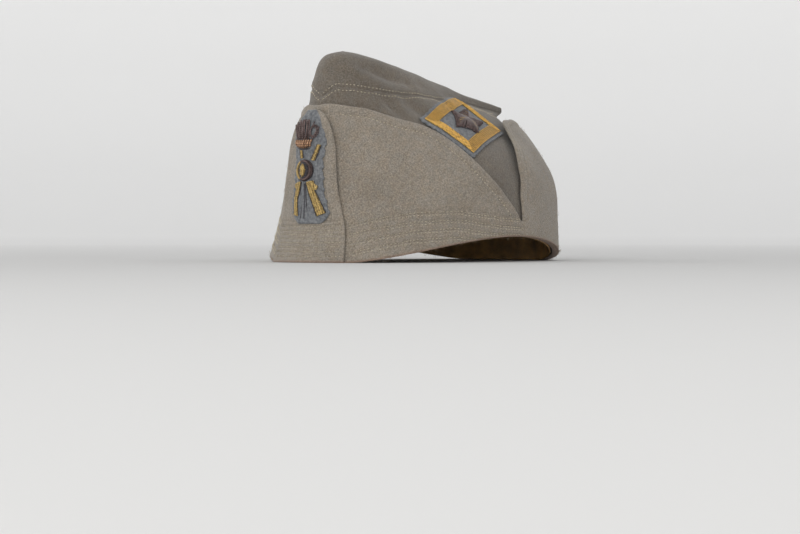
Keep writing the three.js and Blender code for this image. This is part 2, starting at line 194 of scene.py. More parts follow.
def ring_values(v):
    """The ring table's columns at height v, by a cubic curve through the rows (Catmull-Rom)."""
    at = np.clip(v, 0, RIDGE)
    i = np.minimum(np.floor(at).astype(int), RIDGE - 1)
    f = (at - i)[..., None]
    a, b, c, d = (RINGS[np.clip(i + k, 0, RIDGE)] for k in (-1, 0, 1, 2))
    rows = 0.5 * (2 * b + (c - a) * f + (2 * a - 5 * b + 4 * c - d) * f**2 + (3 * b - a - 3 * c + d) * f**3)
    return {name: rows[..., k] for k, name in enumerate(RING_COLUMNS)}


def crown_point(t, v):
    """The crown's face: t is the angle round the rim from the front, v the height in rings. Each ring is
    a superellipse whose height runs straight from front to back and is lifted at mid length, and whose
    width shrinks by its pinch towards the back. The ridge has a hump near its front."""
    t, v = np.broadcast_arrays(np.asarray(t, float), np.asarray(v, float))
    r = ring_values(v)
    c, s = np.cos(t), np.sin(t)
    blunt = np.where(c > 0, r["nose"], r["heel"])
    reach = np.where(c > 0, r["middle"] - r["front"], r["back"] - r["middle"])
    y = r["middle"] - reach * np.sign(c) * np.abs(c) ** (2 / blunt)
    along = np.clip((y - r["front"]) / (r["back"] - r["front"]), 0, 1)
    width = np.maximum(r["half"], 0) * (1 - r["pinch"] * smooth(along, 0.35, 0.85))
    x = width * np.sign(s) * np.abs(s) ** (2 / blunt)
    inner = np.clip((along - 0.045) / 0.91, 0, 1)
    z = r["fore"] * (1 - along) + r["aft"] * along + r["rise"] * np.sin(np.pi * inner) ** 1.1
    hump = HUMP * bell(along, HUMP_AT, HUMP_SPREAD) - 0.7 * bell(along, 0, 0.035)
    z = z + smooth(v, 8, RIDGE) * (hump - 0.5 * smooth(along, 0.45, 0.8))
    return np.stack([x, y + LENGTH_SHIFT, z], -1)


def crown_normal(t, v, step=1e-3):
    """Outward normal: the cross product of the two tangents, level at the rim, upright on the ridge."""
    t, v = np.broadcast_arrays(np.asarray(t, float), np.asarray(v, float))
    around = crown_point(t + step, v) - crown_point(t - step, v)
    up = crown_point(t, np.minimum(v + step, RIDGE)) - crown_point(t, np.maximum(v - step, 0))
    n = np.cross(around, up)
    n = np.where((v > RIDGE - 0.02)[..., None], [0.0, 0.0, 1.0], n)
    n[..., 2] *= smooth(v, 0, 0.6)
    return unit(n)


def tangents(t, v, step=1e-4):
    """The two tangents of the crown's face, along the angle and along the height."""
    around = (crown_point(t + step, v) - crown_point(t - step, v)) / (2 * step)
    up = (crown_point(t, v + step) - crown_point(t, v - step)) / (2 * step)
    return around, up


def dent_depth(p):
    """How far the cloth sinks at points p: for each dent, its depth times a bell curve of the distance,
    seen from the side, to its line, fading at the line's ends."""
    sink = np.zeros(p.shape[:-1])
    yz = p[..., 1:] - [LENGTH_SHIFT, 0]
    for side, y0, z0, y1, z1, width, depth in DENTS:
        a, d = np.array([y0, z0]), np.array([y1 - y0, z1 - z0])
        f = np.clip(((yz - a) @ d) / (d @ d), 0, 1)
        gap = np.linalg.norm(yz - a - f[..., None] * d, axis=-1)
        here = smooth(p[..., 0] * side, 0.5, 6.0) * (0.5 + 0.5 * np.sin(np.pi * np.clip(f, 0.08, 0.92)))
        sink += depth * here * (bell(gap, 0, width) - 0.28 * bell(gap, 2.1 * width, width))
    return sink


def waver(p, size, seed):
    """A slow irregular wave over points p, between about -1 and 1: five sine waves with random
    directions, lengths near size and random phases."""
    rng = np.random.default_rng(seed)
    total = np.zeros(p.shape[:-1])
    for _ in range(5):
        way = unit(rng.normal(size=3))
        total += np.sin((p @ way) * 2 * np.pi / (size * rng.uniform(0.7, 1.5)) + rng.uniform(0, 6.28))
    return total / 2.6


def layer(t, v, d, soft=1.0):
    """A place at depth d outside the crown's face, with the cloth's dents and slow unevenness. Inside
    the face, a place keeps to its own side of the cap."""
    p = crown_point(t, v)
    n = crown_normal(t, v)
    fade = smooth(np.broadcast_to(v, p.shape[:-1]), 0.3, 1.6)
    dents = bpy.context.scene.side_cap_sizes.dents
    d = d - soft * dents * dent_depth(p) + soft * fade * (0.4 * waver(p, 46, 3) + 0.15 * waver(p, 19, 8))
    q = p + np.asarray(d)[..., None] * n
    side = np.sign(p[..., 0])
    held = side * np.maximum(q[..., 0] * side, 0.3 * np.abs(p[..., 0]))
    q[..., 0] = np.where(np.asarray(d) < 0, held, q[..., 0])
    return q


def seam_ring(t):
    """Height in rings of the seam round the top piece: lowest at its front point, highest beside it."""
    a = np.degrees(np.abs(t))
    return 6.93 + 0.57 * smooth(a, 0, 22) - 0.33 * smooth(a, 32, 70)


def flap_ring(t):
    """Height in rings of the turned-up cloth's edge: the mean of the table at five angles up to 4 degrees
    either way, which rounds its corners, drawn together at the notch so that its foot stays sharp."""
    a = np.degrees(np.abs(t))
    reach = 4 * smooth(np.abs(a - 90), 4, 14)
    near = [np.interp(np.abs(a + k * reach), FLAP_EDGE[:, 0], FLAP_EDGE[:, 1]) for k in (-1, -0.5, 0, 0.5, 1)]
    return sum(near) / 5


def standoff(t, v):
    """How far the turned-up cloth stands off the crown: most at the rear flap."""
    a = np.degrees(np.abs(t))
    return PLY_GAP + REAR_FLAP_STANDOFF * smooth(a, 89, 104) * smooth(v, 0.8, 3.2)


def edge_distance(points, line):
    """Shortest distance from each point to a polyline, worked out in blocks."""
    flat = points.reshape(-1, points.shape[-1])
    a, d = line[:-1], line[1:] - line[:-1]
    length = np.maximum((d * d).sum(-1), 1e-12)
    best = np.empty(len(flat))
    for i in range(0, len(flat), 2000):
        gap = flat[i:i + 2000, None] - a
        f = np.clip((gap * d).sum(-1) / length, 0, 1)
        best[i:i + 2000] = np.sqrt(((gap - f[..., None] * d) ** 2).sum(-1).min(-1))
    return best.reshape(points.shape[:-1])


def edge_round(distance, thickness):
    """Half the thickness of a cloth at a distance from its edge: a quarter circle up to its full."""
    f = np.clip(distance / (thickness * 0.75), 0, 1)
    return thickness / 2 * np.sqrt(np.maximum(1 - (1 - f) ** 2, 0.0016))


def edge_rows(low, high, edge, spacing):
    """Places from low to high, close together at both ends, for edges that are rounded over edge."""
    fine = edge * np.array([0, 0.06, 0.16, 0.32, 0.55, 0.85])
    middle = np.linspace(fine[-1], high - low - fine[-1], max(int((high - low) / spacing), 3))
    return low + np.concatenate([fine[:-1], middle, (high - low) - fine[-2::-1]])


def new_piece(name, points, faces, uv):
    """A mesh object that rides on the cap, from points and a UV map in millimetres."""
    mesh = bpy.data.meshes.new(name)
    mesh.from_pydata((points * MM).tolist(), [], faces if isinstance(faces, list) else faces.tolist())
    corners = np.empty(len(mesh.loops), int)
    mesh.loops.foreach_get("vertex_index", corners)
    mesh.uv_layers.new(name="cloth").data.foreach_set("uv", uv[corners].ravel())
    mesh.polygons.foreach_set("use_smooth", np.ones(len(mesh.polygons), bool))
    piece = bpy.data.objects.new(name, mesh)
    bpy.context.scene.collection.objects.link(piece)
    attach(piece, "root")
    return piece


def weld(piece):
    """Joins points that lie in the same place, where a surface meets itself."""
    work = bmesh.new()
    work.from_mesh(piece.data)
    bmesh.ops.remove_doubles(work, verts=work.verts, dist=2e-6)
    work.to_mesh(piece.data)
    work.free()


def grid_faces(across, up):
    """Quads of a grid of across by up points, numbered column by column, facing out."""
    i, j = np.meshgrid(np.arange(across - 1), np.arange(up - 1), indexing="ij")
    a = (i * up + j).ravel()
    return np.stack([a, a + up, a + up + 1, a + 1], -1)


def cloth(name, outside, inside, uv, loop=False, open_top=False):
    """A closed cloth: two grids of the same size, joined along their rims. A loop's two ends meet, and
    a cloth with an open top meets itself along its last row."""
    across, up = outside.shape[:2]
    points = np.concatenate([outside.reshape(-1, 3), inside.reshape(-1, 3)])
    count = across * up
    out = grid_faces(across, up)
    columns = np.arange(across - 1) * up
    foot = np.stack([columns + count, columns + count + up, columns + up, columns], -1)
    faces = [out, out[:, ::-1] + count, foot]
    if not open_top:
        faces.append(np.stack([columns, columns + up, columns + up + count, columns + count], -1) + up - 1)
    if not loop:
        first = np.arange(up - 1)
        last = first + (across - 1) * up
        faces.append(np.stack([first + count, first, first + 1, first + 1 + count], -1))
        faces.append(np.stack([last, last + count, last + count + 1, last + 1], -1))
    piece = new_piece(name, points, np.concatenate(faces), np.concatenate([uv.reshape(-1, 2)] * 2))
    if loop:
        weld(piece)
    return piece


def tubes(name, paths, normals, radius, sides=6):
    """Round threads along many paths at once: paths and normals are arrays of thread, step and place,
    and each ring is its path point plus radius times the circle through the normal and the side."""
    count, steps = paths.shape[:2]
    radius = np.broadcast_to(radius, (count, steps))
    way = unit(np.gradient(paths, axis=1))
    side = unit(np.cross(way, normals))
    lift = np.cross(side, way)
    angle = np.arange(sides) * 2 * np.pi / sides
    ring = side[:, :, None] * np.cos(angle)[:, None] + lift[:, :, None] * np.sin(angle)[:, None]
    points = paths[:, :, None] + radius[:, :, None, None] * ring
    length = np.linalg.norm(np.diff(paths, axis=1), axis=-1).cumsum(1)
    length = np.concatenate([np.zeros((count, 1)), length], 1)
    uv = np.stack(np.broadcast_arrays(length[..., None], angle / (2 * np.pi)), -1)
    one = np.arange(steps - 1)[:, None] * sides
    k = np.arange(sides)
    after = (k + 1) % sides
    body = np.stack([one + k, one + after, one + sides + after, one + sides + k], -1).reshape(-1, 4)
    starts = np.arange(count)[:, None, None] * steps * sides
    faces = (body[None] + starts).reshape(-1, 4).tolist()
    faces += (k[::-1][None] + starts[:, 0]).tolist()
    faces += (k[None] + starts[:, 0] + (steps - 1) * sides).tolist()
    return new_piece(name, points.reshape(-1, 3), faces, uv.reshape(-1, 2))


def threads(name, groups, radius, key, slot, *nodes, sides=6):
    """One piece from several sets of threads, each set its paths and normals."""
    paths = np.concatenate([p if p.ndim == 3 else p[None] for p, _ in groups])
    normals = np.concatenate([n if n.ndim == 3 else n[None] for _, n in groups])
    return dress(tubes(name, paths, normals, radius, sides), key, slot, *nodes)


def line_at(line, count):
    """Evenly spaced points of a polyline, ends included."""
    line = np.asarray(line, float)
    far = np.concatenate([[0], np.linalg.norm(np.diff(line, axis=0), axis=1).cumsum()])
    at = np.linspace(0, far[-1], count)
    return np.stack([np.interp(at, far, line[:, k]) for k in range(line.shape[1])], -1)


def node(tree, kind, inputs=None, stops=None, **settings):
    """Adds a shader node: its settings, its inputs as values or as links, and a colour ramp's stops."""
    made = tree.nodes.new(kind)
    for key, value in settings.items():
        setattr(made, key, value)
    for key, value in (inputs or {}).items():
        if isinstance(value, bpy.types.NodeSocket):
            tree.links.new(value, made.inputs[key])
        else:
            made.inputs[key].default_value = value
    if stops:
        ramp = made.color_ramp
        while len(ramp.elements) < len(stops):
            ramp.elements.new(0.5)
        for element, (position, colour) in zip(ramp.elements, sorted(stops)):
            element.position = position
            element.color = colour
    return made


def new_material(name, **shader):
    """A material whose Principled shader has plain values on its own sockets."""
    material = bpy.data.materials.new(name)
    material.use_nodes = True
    tree = material.node_tree
    principled = next(n for n in tree.nodes if n.type == "BSDF_PRINCIPLED")
    for key, value in shader.items():
        principled.inputs[key.replace("_", " ")].default_value = value
    coordinates = node(tree, "ShaderNodeTexCoord")
    place = node(tree, "ShaderNodeMapping", {"Vector": coordinates.outputs["Object"], "Scale": (1000,) * 3})
    return material, tree, principled, place.outputs["Vector"], coordinates.outputs["UV"]


def noise(tree, place, scale, detail, **more):
    """Cloudy noise from 0 to 1 over a place in millimetres, its clouds about 1 / scale millimetres wide."""
    values = {"Vector": place, "Scale": scale, "Detail": detail}
    values.update({key.title(): value for key, value in more.items()})
    return node(tree, "ShaderNodeTexNoise", values).outputs["Fac"]


def ramp(tree, fac, *stops):
    """Colours that blend from stop to stop, each stop a position and its colour."""
    return node(tree, "ShaderNodeValToRGB", {"Fac": fac}, stops=stops).outputs["Color"]


def mix(tree, share, one, two, blend="MIX"):
    """Two colours mixed by a share, or multiplied."""
    made = node(tree, "ShaderNodeMix", {0: share, 6: one, 7: two}, data_type="RGBA", blend_type=blend)
    return made.outputs[2]


def remapped(tree, value, old, new):
    """A value moved from one range to another, and held within it."""
    ends = {"Value": value, "From Min": old[0], "From Max": old[1], "To Min": new[0], "To Max": new[1]}
    return node(tree, "ShaderNodeMapRange", ends).outputs["Result"]


def weighted(tree, one, share, two):
    """One value times a share, plus another."""
    return node(tree, "ShaderNodeMath", {0: one, 1: share, 2: two}, operation="MULTIPLY_ADD").outputs[0]


def roughen(tree, shader, height, strength, distance):
    """Roughens a surface by a height from 0 to 1 that stands for a rise of distance metres."""
    bump = node(tree, "ShaderNodeBump", {"Height": height, "Strength": strength, "Distance": distance})
    tree.links.new(bump.outputs["Normal"], shader.inputs["Normal"])


def fulled_wool(name, colour, hem=0.0):
    """Fulled uniform wool. Grey, brown and pale fibres mixed in the yarn give a grain of about 1 mm,
    pale hairs stand out as specks, a half-hidden twill of 1.5 mm ribs runs aslant, and the short nap
    keeps it matt and lightens grazing edges. hem is how far the lowest 2.5 mm, at the fold of the rim,
    have rubbed to a red brown."""
    material, tree, shader, place, uv = new_material(
        name, Roughness=0.95, Sheen_Weight=0.22, Sheen_Roughness=0.6, Specular_IOR_Level=0.2)
    grain = noise(tree, place, 1.15, 2.0, roughness=0.75)
    heather = ramp(tree, grain, (0.33, toned(colour, 0.66, 0.04)), (0.5, toned(colour, 0.97)),
                   (0.68, toned(colour, 1.42, -0.01)))
    speck = remapped(tree, noise(tree, place, 1.7, 1.0, distortion=1.2), (0.6, 0.7), (0.0, 0.55))
    haired = mix(tree, speck, heather, toned(colour, 1.9, 0.02))
    tint = ramp(tree, noise(tree, place, 0.22, 3.0), (0.35, (1.02, 0.99, 0.96, 1)),
                (0.65, (0.98, 1.0, 1.03, 1)))
    wear = remapped(tree, noise(tree, place, 0.03, 3.0), (0.3, 0.7), (0.9, 1.08))
    worn = mix(tree, 1.0, mix(tree, 1.0, haired, tint, "MULTIPLY"), wear, "MULTIPLY")
    height = node(tree, "ShaderNodeSeparateXYZ", {"Vector": uv}).outputs["Y"]
    rubbed = remapped(tree, height, (0.0, 2.5), (hem, 0.0))
    hemmed = mix(tree, rubbed, worn, (*srgb("#7d5541"), 1))
    tree.links.new(hemmed, shader.inputs["Base Color"])
    aslant = node(tree, "ShaderNodeMapping", {"Vector": uv, "Rotation": (0, 0, math.radians(52))})
    rib = node(tree, "ShaderNodeTexWave", {"Vector": aslant.outputs["Vector"], "Scale": 0.21,
                                           "Distortion": 1.6, "Detail": 2.0, "Detail Scale": 2.5})
    roughen(tree, shader, weighted(tree, rib.outputs["Fac"], 0.22, grain), 0.85, 0.00045)
    return material


def pressed_felt(name, colour):
    """Felt of pressed wool: no weave, soft clouds of lighter fibre 1 to 2 mm wide, and a fine pile."""
    material, tree, shader, place, _ = new_material(
        name, Roughness=0.95, Sheen_Weight=0.25, Sheen_Roughness=0.5, Specular_IOR_Level=0.2)
    cloud = noise(tree, place, 0.6, 4.0, roughness=0.7)
    tone = ramp(tree, cloud, (0.34, toned(colour, 0.6)), (0.5, toned(colour, 1.0)),
                (0.68, toned(colour, 1.5, 0.05)))
    tree.links.new(tone, shader.inputs["Base Color"])
    roughen(tree, shader, noise(tree, place, 1.8, 3.0, roughness=0.7), 0.8, 0.0004)
    return material


def spun_thread(name, colour, low=0.4, metallic=0.0, roughness=0.6):
    """A twisted or wire-wrapped thread: fine turns aslant along it, painted lighter where they stand up and
    darker between them as painted highlight and shade, and patches of tarnish or soil 1.5 mm wide."""
    material, tree, shader, place, uv = new_material(
        name, Metallic=metallic, Roughness=roughness, Sheen_Weight=0.0 if metallic else 0.15)
    stretched = node(tree, "ShaderNodeMapping", {"Vector": uv, "Scale": (1.0, 0.9, 1.0)})
    wave = {"Vector": stretched.outputs["Vector"], "Scale": 0.5, "Distortion": 0.8, "Detail": 1.0}
    turns = node(tree, "ShaderNodeTexWave", wave, bands_direction="DIAGONAL").outputs["Fac"]
    soil = noise(tree, place, 0.65, 4.0, roughness=0.7)
    # Painted highlight and shade: the raised turns are coloured lighter and the hollows between them darker,
    # mixed with the real soil patches.
    tone = ramp(tree, weighted(tree, turns, 0.3, soil), (0.42, toned(colour, low, 0.08)),
                (0.62, toned(colour, 1.0)), (0.84, toned(colour, 1.6)))
    tree.links.new(tone, shader.inputs["Base Color"])
    roughen(tree, shader, turns, 0.6, 0.00015)
    return material


def worn_leather(name, colour):
    """Thin tanned leather of a sweatband: darkened in clouds 10 mm wide where it has been worn, with a
    grain of 0.6 mm pebbles and a dull polish."""
    material, tree, shader, place, _ = new_material(name, Roughness=0.52)
    cloud = noise(tree, place, 0.09, 5.0, roughness=0.6)
    tone = ramp(tree, cloud, (0.3, toned(colour, 0.55)), (0.5, toned(colour, 1.0)),
                (0.72, toned(colour, 1.5)))
    tree.links.new(tone, shader.inputs["Base Color"])
    pebbles = node(tree, "ShaderNodeTexVoronoi", {"Vector": place, "Scale": 1.6}, feature="SMOOTH_F1")
    roughen(tree, shader, pebbles.outputs["Distance"], 0.35, 0.0003)
    return material


def studio_paper(name, colour):
    """Matt studio paper with painted shade: greyer where the cap stands, paler from 0.3 to 2.5 m away,
    towards the backdrop.
    """
    material, tree, shader, place, _ = new_material(name, Roughness=0.9, Specular_IOR_Level=0.2)
    away = node(tree, "ShaderNodeVectorMath", {"Vector": place}, operation="LENGTH").outputs["Value"]
    # Painted shade: the paper is darkened near the cap and lightened towards the backdrop, evening out the
    # lamps' light.
    pale = remapped(tree, away, (300.0, 2500.0), (0.74, 1.06))
    tree.links.new(mix(tree, 1.0, toned(colour, 1.0), pale, "MULTIPLY"), shader.inputs["Base Color"])
    return material


# Each finish's maker, its name, and its further values. Its colour is in the scene's colour properties.
FINISHES = {
    "flap_wool": (fulled_wool, "Fulled wool, flaps", {"hem": 0.6}),
    # The crown's wool is coloured darker than the flaps', partly as painted shade for the crown's less lit
    # faces.
    "crown_wool": (fulled_wool, "Fulled wool, crown", {}),
    "badge_felt": (pressed_felt, "Pressed felt, blue-grey", {}),
    "thread": (spun_thread, "Cotton thread, pale", {"low": 0.55, "roughness": 0.85}),
    "gold": (spun_thread, "Gilt bullion, tarnished", {"low": 0.32, "metallic": 0.45, "roughness": 0.42}),
    "copper": (spun_thread, "Gilt bullion, copper toned", {"low": 0.35, "metallic": 0.4, "roughness": 0.45}),
    "dark": (spun_thread, "Oxidised bullion, dark", {"low": 0.35, "metallic": 0.5, "roughness": 0.38}),
    "black": (spun_thread, "Silk thread, black", {"low": 0.5, "roughness": 0.5}),
    "braid": (spun_thread, "Lace braid, yellow gold", {"low": 0.36, "metallic": 0.2, "roughness": 0.5}),
    "fibre": (spun_thread, "Loose wool fibre", {"low": 0.6, "roughness": 0.9}),
    "leather": (worn_leather, "Sweatband leather, worn tan", {}),
}


def dress(piece, key, slot, *nodes):
    """Gives a piece its finish and hides the CAD parts it stands for. Its slot is not used."""
    maker, name, values = FINISHES[key]
    material = bpy.data.materials.get(name)
    if material is None:
        material = maker(name, getattr(bpy.context.scene.side_cap_colours, key), **values)
    piece.data.materials.append(material)
    if nodes:
        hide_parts(*nodes)
    return piece


def flat_uv(t, v):
    """A cloth's UV map in millimetres: the length round the rim at its mean radius, and the height."""
    return np.stack(np.broadcast_arrays(t * RIM_RADIUS, v * RING_PITCH), -1)


def row_ditch(v, rows, wide, deep):
    """The ditches that stitched rows pull into the cloth: a bell curve at each row."""
    return sum(deep * bell(v, row, wide) for row in rows)


def make_curtain():
    """The turned-up cloth in one piece: rim foot, band, side flaps and rear flap. Its face is the crown
    moved out by a standoff and a thickness that rounds off at the edge, with a pad between the edge and
    its stitching and ditches at the stitched rows."""
    half = np.concatenate([np.arange(0, 62, 1.2), np.arange(62, 85, 0.6), np.arange(85, 94, 0.2),
                           np.arange(94, 118, 0.7), np.arange(118, 180, 1.5), FLAP_EDGE[:, 0]])
    half = np.unique(half[(half > 0) & (half < 180)])
    t = np.radians(np.concatenate([[-180], -half[::-1], [0], half, [180]]))[:, None]
    high = flap_ring(t)
    foot = RIM_FOOT / RING_PITCH
    base = np.array([[0.0, 0.02, 0.05, 0.09, foot * 0.98]]) + 0 * t
    body = foot + (high - EDGE_STEPS[0] - foot) * np.linspace(0, 1, 110)[None]
    v = np.concatenate([base, body, high - EDGE_STEPS[None, 1:]], 1)
    t = t + 0 * v
    edge_t = np.radians(np.arange(-180, 180.1, 0.25))
    gap = edge_distance(crown_point(t, v), crown_point(edge_t, flap_ring(edge_t)))
    gap = np.minimum(gap, (v * RING_PITCH + 0.3) * 1.4)
    thick = edge_round(gap, WOOL)
    a = np.degrees(np.abs(t))
    top = np.interp(a, BAND_ROW[:, 0], BAND_ROW[:, 1])
    ditch = row_ditch(v, [top - k * BAND_STEP for k in range(BAND_ROWS)], 0.06, 0.5)
    ditch = (ditch + 0.4 * bell(v, top + 0.1, 0.04)) * (1 - smooth(a, 87, 92)) * smooth(a, 12, 17)
    pad = 0.4 * bell(gap, 2.8, 2.0) - 0.4 * bell(gap, 6.0, 0.8)
    lip = 0.5 * smooth(10 - gap, 0, 9) * smooth(v, 1.2, 2.4)
    middle = standoff(t, v) + WOOL / 2 + lip
    inner = smooth(v, foot * 0.9, foot * 1.1)
    back = (middle - thick) * inner + (-WOOL / 2 - thick) * (1 - inner)
    outside = layer(t, v, middle + thick - ditch + pad * smooth(v, 1.0, 1.8))
    piece = cloth("curtain_cloth", outside, layer(t, v, back), flat_uv(t, v), loop=True)
    dress(piece, "flap_wool", "flap_wool", "curtain")


def make_front_flap():
    """The turned-up front flap: a tongue with a superellipse top, a folded ridge above its rows of
    stitching, and an edge that stands off the side flaps."""
    def top(a):
        drop = 1 - (1 - np.clip(np.abs(a), 0, 0.9995) ** FRONT_FLAP_BLUNT) ** (1 / FRONT_FLAP_BLUNT)
        return FRONT_FLAP_TOP - FRONT_FLAP_CORNER * drop

    def angle(a, v):
        return np.radians(FRONT_FLAP_ANGLE - FRONT_FLAP_TAPER * smooth(v, 1.2, 3.2)) * a

    a = edge_rows(-1, 1, 0.075, 0.03)[:, None]
    body = (top(a) - EDGE_STEPS[0]) * np.linspace(0, 1, 130)[None]
    v = np.concatenate([body, top(a) - EDGE_STEPS[None, 1:]], 1)
    a = a + 0 * v
    t = angle(a, v)
    edge = np.linspace(-1, 1, 400)
    up = np.linspace(0, 1, 60)
    rim_v = np.concatenate([up * top(edge[0]), top(edge), up[::-1] * top(edge[-1])])
    rim_t = angle(np.concatenate([-np.ones(60), edge, np.ones(60)]), rim_v)
    gap = edge_distance(crown_point(t, v), crown_point(rim_t, rim_v))
    gap = np.minimum(gap, v * RING_PITCH * 1.2 + 0.05)
    thick = edge_round(gap, WOOL)
    corner = smooth(v, 4.0, 5.4) * smooth(a, 0.35, 0.9)
    lift = (0.75 + 1.7 * corner) * smooth(9 - gap, 0, 8) * smooth(v, 1.7, 3.0)
    fold = 0.55 * bell(v, 1.545, 0.05) - 0.6 * bell(v, 1.64, 0.045) - row_ditch(v, FRONT_ROWS, 0.04, 0.42)
    middle = FLAP_DEPTH + WOOL / 2 + lift
    pad = 0.35 * bell(gap, 2.6, 1.8) * smooth(v, 1.4, 2.2)
    outside = layer(t, v, middle + thick + pad + fold * smooth(gap, 0.3, 2.0))
    piece = cloth("front_flap_cloth", outside, layer(t, v, middle - thick), flat_uv(t, v))
    dress(piece, "flap_wool", "flap_wool", "front_flap")


def seam_relief(reach):
    """Relief beside the crown's seam, by distance from it: a fine ditch and a low pad beside it."""
    return -0.26 * bell(reach, 0, 0.8) + 0.28 * bell(reach, 3.2, 1.8)


def make_crown_side(side):
    """One side panel of the crown, from the rim foot up to the seam."""
    t = np.radians(np.linspace(0.05, 179.95, 200))[:, None]
    top = seam_ring(t)
    share = np.concatenate([np.linspace(0, 0.94, 60), np.linspace(0.94, 1, 14)[1:]])[None]
    v = 0.17 + (top - 0.17) * share
    t = side * t + 0 * v
    if side < 0:
        t, v = t[::-1], v[::-1]
    outside = layer(t, v, seam_relief((seam_ring(t) - v) * 10.0))
    inside = layer(t, v, -WOOL)
    for face in (outside, inside):
        face[..., 0] = side * np.maximum(side * face[..., 0], 0.02)
    name = "left" if side > 0 else "right"
    piece = cloth(f"crown_side_{name}_cloth", outside, inside, flat_uv(t, v))
    dress(piece, "crown_wool", "crown_wool", f"crown_side_{name}")


def make_crown_top():
    """The top piece, both sides in one: from the seam over the ridge, down to the tab at the back."""
    t = np.radians(np.linspace(-180, 180, 361))[:, None]
    foot = seam_ring(t)
    share = np.concatenate([np.linspace(0, 0.08, 12)[:-1], np.linspace(0.08, 1, 70)])[None]
    v = foot + (RIDGE - foot) * share
    t = t + 0 * v
    relief = seam_relief((v - seam_ring(t)) * 9.0) + 0.3 * bell((v - seam_ring(t)) * 9.0, 6, 4)
    outside = layer(t, v, relief * (1 - smooth(np.degrees(np.abs(t)), 120, 150)))
    inside = layer(t, v, -WOOL)
    outside[:, -1, 0] = inside[:, -1, 0] = 0
    piece = cloth("crown_top_cloth", outside, inside, flat_uv(t, v), loop=True, open_top=True)
    dress(piece, "crown_wool", "crown_wool", "crown_top")


def make_sweatband():
    """The leather band inside the rim: an even strip with slight ripples where it has been worn."""
    t = np.radians(np.linspace(-180, 180, 361))[:, None]
    v = edge_rows(0.02, SWEATBAND_TOP, 0.06, 0.06)[None] + 0 * t
    t = t + 0 * v
    ripple = 0.12 * np.sin(t * 31 + 2 * np.sin(t * 7)) * smooth(v, 0.1, 0.6)
    middle = -WOOL - PLY_GAP - LEATHER / 2 + ripple - 0.15
    thick = edge_round(np.minimum(v - 0.02, SWEATBAND_TOP - v) * RING_PITCH, LEATHER * 0.8)
    outside, inside = (layer(t, v, middle + k * thick, soft=0) for k in (1, -1))
    piece = cloth("sweatband_leather", outside, inside, flat_uv(t, v), loop=True)
    dress(piece, "leather", "sweatband_leather", "sweatband")


def edge_inset(a, reach):
    """Places on the crown that lie reach millimetres below the turned-up cloth's edge, at the angles a
    in degrees: across the edge's own direction, solved into angle and height by the two tangents."""
    t, v = np.radians(a), flap_ring(np.radians(a))
    inward = unit(np.cross(unit(np.gradient(crown_point(t, v), axis=0)), crown_normal(t, v))) * reach
    pt, pv = tangents(t, v, 1e-3)
    p, q, r = (pt * pt).sum(-1), (pt * pv).sum(-1), (pv * pv).sum(-1)
    e, f = (pt * inward).sum(-1), (pv * inward).sum(-1)
    return t + (e * r - f * q) / (p * r - q * q), v + (p * f - q * e) / (p * r - q * q)


def stitch_row(t, v, d, pitch, seed):
    """Stitches along a row of places: each short path starts and ends in the cloth and arches out of it
    by a power of the cosine along its length."""
    places, normals = layer(t, v, d), crown_normal(t, v)
    far = np.concatenate([[0], np.linalg.norm(np.diff(places, axis=0), axis=1).cumsum()])
    rng = np.random.default_rng(seed)
    at = np.arange(pitch / 2, far[-1], pitch)
    steps = np.linspace(-1, 1, 6)
    where = at[:, None] + pitch * 0.3 * rng.uniform(0.75, 1.1, (len(at), 1)) * steps
    path = np.stack([np.interp(where, far, places[:, k]) for k in range(3)], -1)
    up = unit(np.stack([np.interp(where, far, normals[:, k]) for k in range(3)], -1))
    arch = -0.32 + 0.5 * np.cos(steps * np.pi / 2) ** 0.5
    return path + arch[:, None] * up + rng.normal(0, 0.09, (len(at), 1, 3)), up


def make_stitching():
    """The machine stitching: the band's rows, the front flap's rows, the line inside each flap's edge,
    and the double line along the crown's seam."""
    pitch = bpy.context.scene.side_cap_sizes.stitch_pitch / MM
    rows = []
    for side in (-1, 1):
        a = np.arange(21.4, 88.5, 0.5)
        for k in range(BAND_ROWS):
            v = np.interp(a, BAND_ROW[:, 0], BAND_ROW[:, 1]) - k * BAND_STEP
            keep = v > 0.12
            rows.append(stitch_row(side * np.radians(a[keep]), v[keep], PLY_GAP + WOOL - 0.12, pitch, k))
            keep = v > 0.24
            rows.append(stitch_row(side * np.radians(a[keep]), v[keep] - 0.11, PLY_GAP + WOOL, pitch, k + 5))
        t, v = edge_inset(np.arange(24, 86.0, 0.25), SIDE_EDGE_INSET)
        rows.append(stitch_row(side * t, v, PLY_GAP + WOOL, pitch, 11))
        t, v = edge_inset(np.arange(91.5, 125, 0.25), REAR_EDGE_INSET)
        keep = v > 1.0
        rows.append(stitch_row(side * t[keep], v[keep], standoff(t[keep], v[keep]) + WOOL + 0.4, pitch, 12))
        a = np.radians(np.arange(2, 150, 0.5))
        rows.append(stitch_row(side * a, seam_ring(a) - 0.19, 0.12, pitch, 13))
        rows.append(stitch_row(side * a, seam_ring(a) + 0.2, 0.16, pitch, 14))
    for k, height in enumerate(FRONT_ROWS):
        a = np.radians(np.linspace(-18.8, 18.8, 60))
        rows.append(stitch_row(a, 0 * a + height, FLAP_DEPTH + WOOL - 0.24, pitch, 20 + k))
    radius = bpy.context.scene.side_cap_sizes.stitch_radius / MM * np.array([0.6, 0.9, 1.0, 1.0, 0.9, 0.6])
    threads("stitching", rows, radius, "thread", "flap_wool")


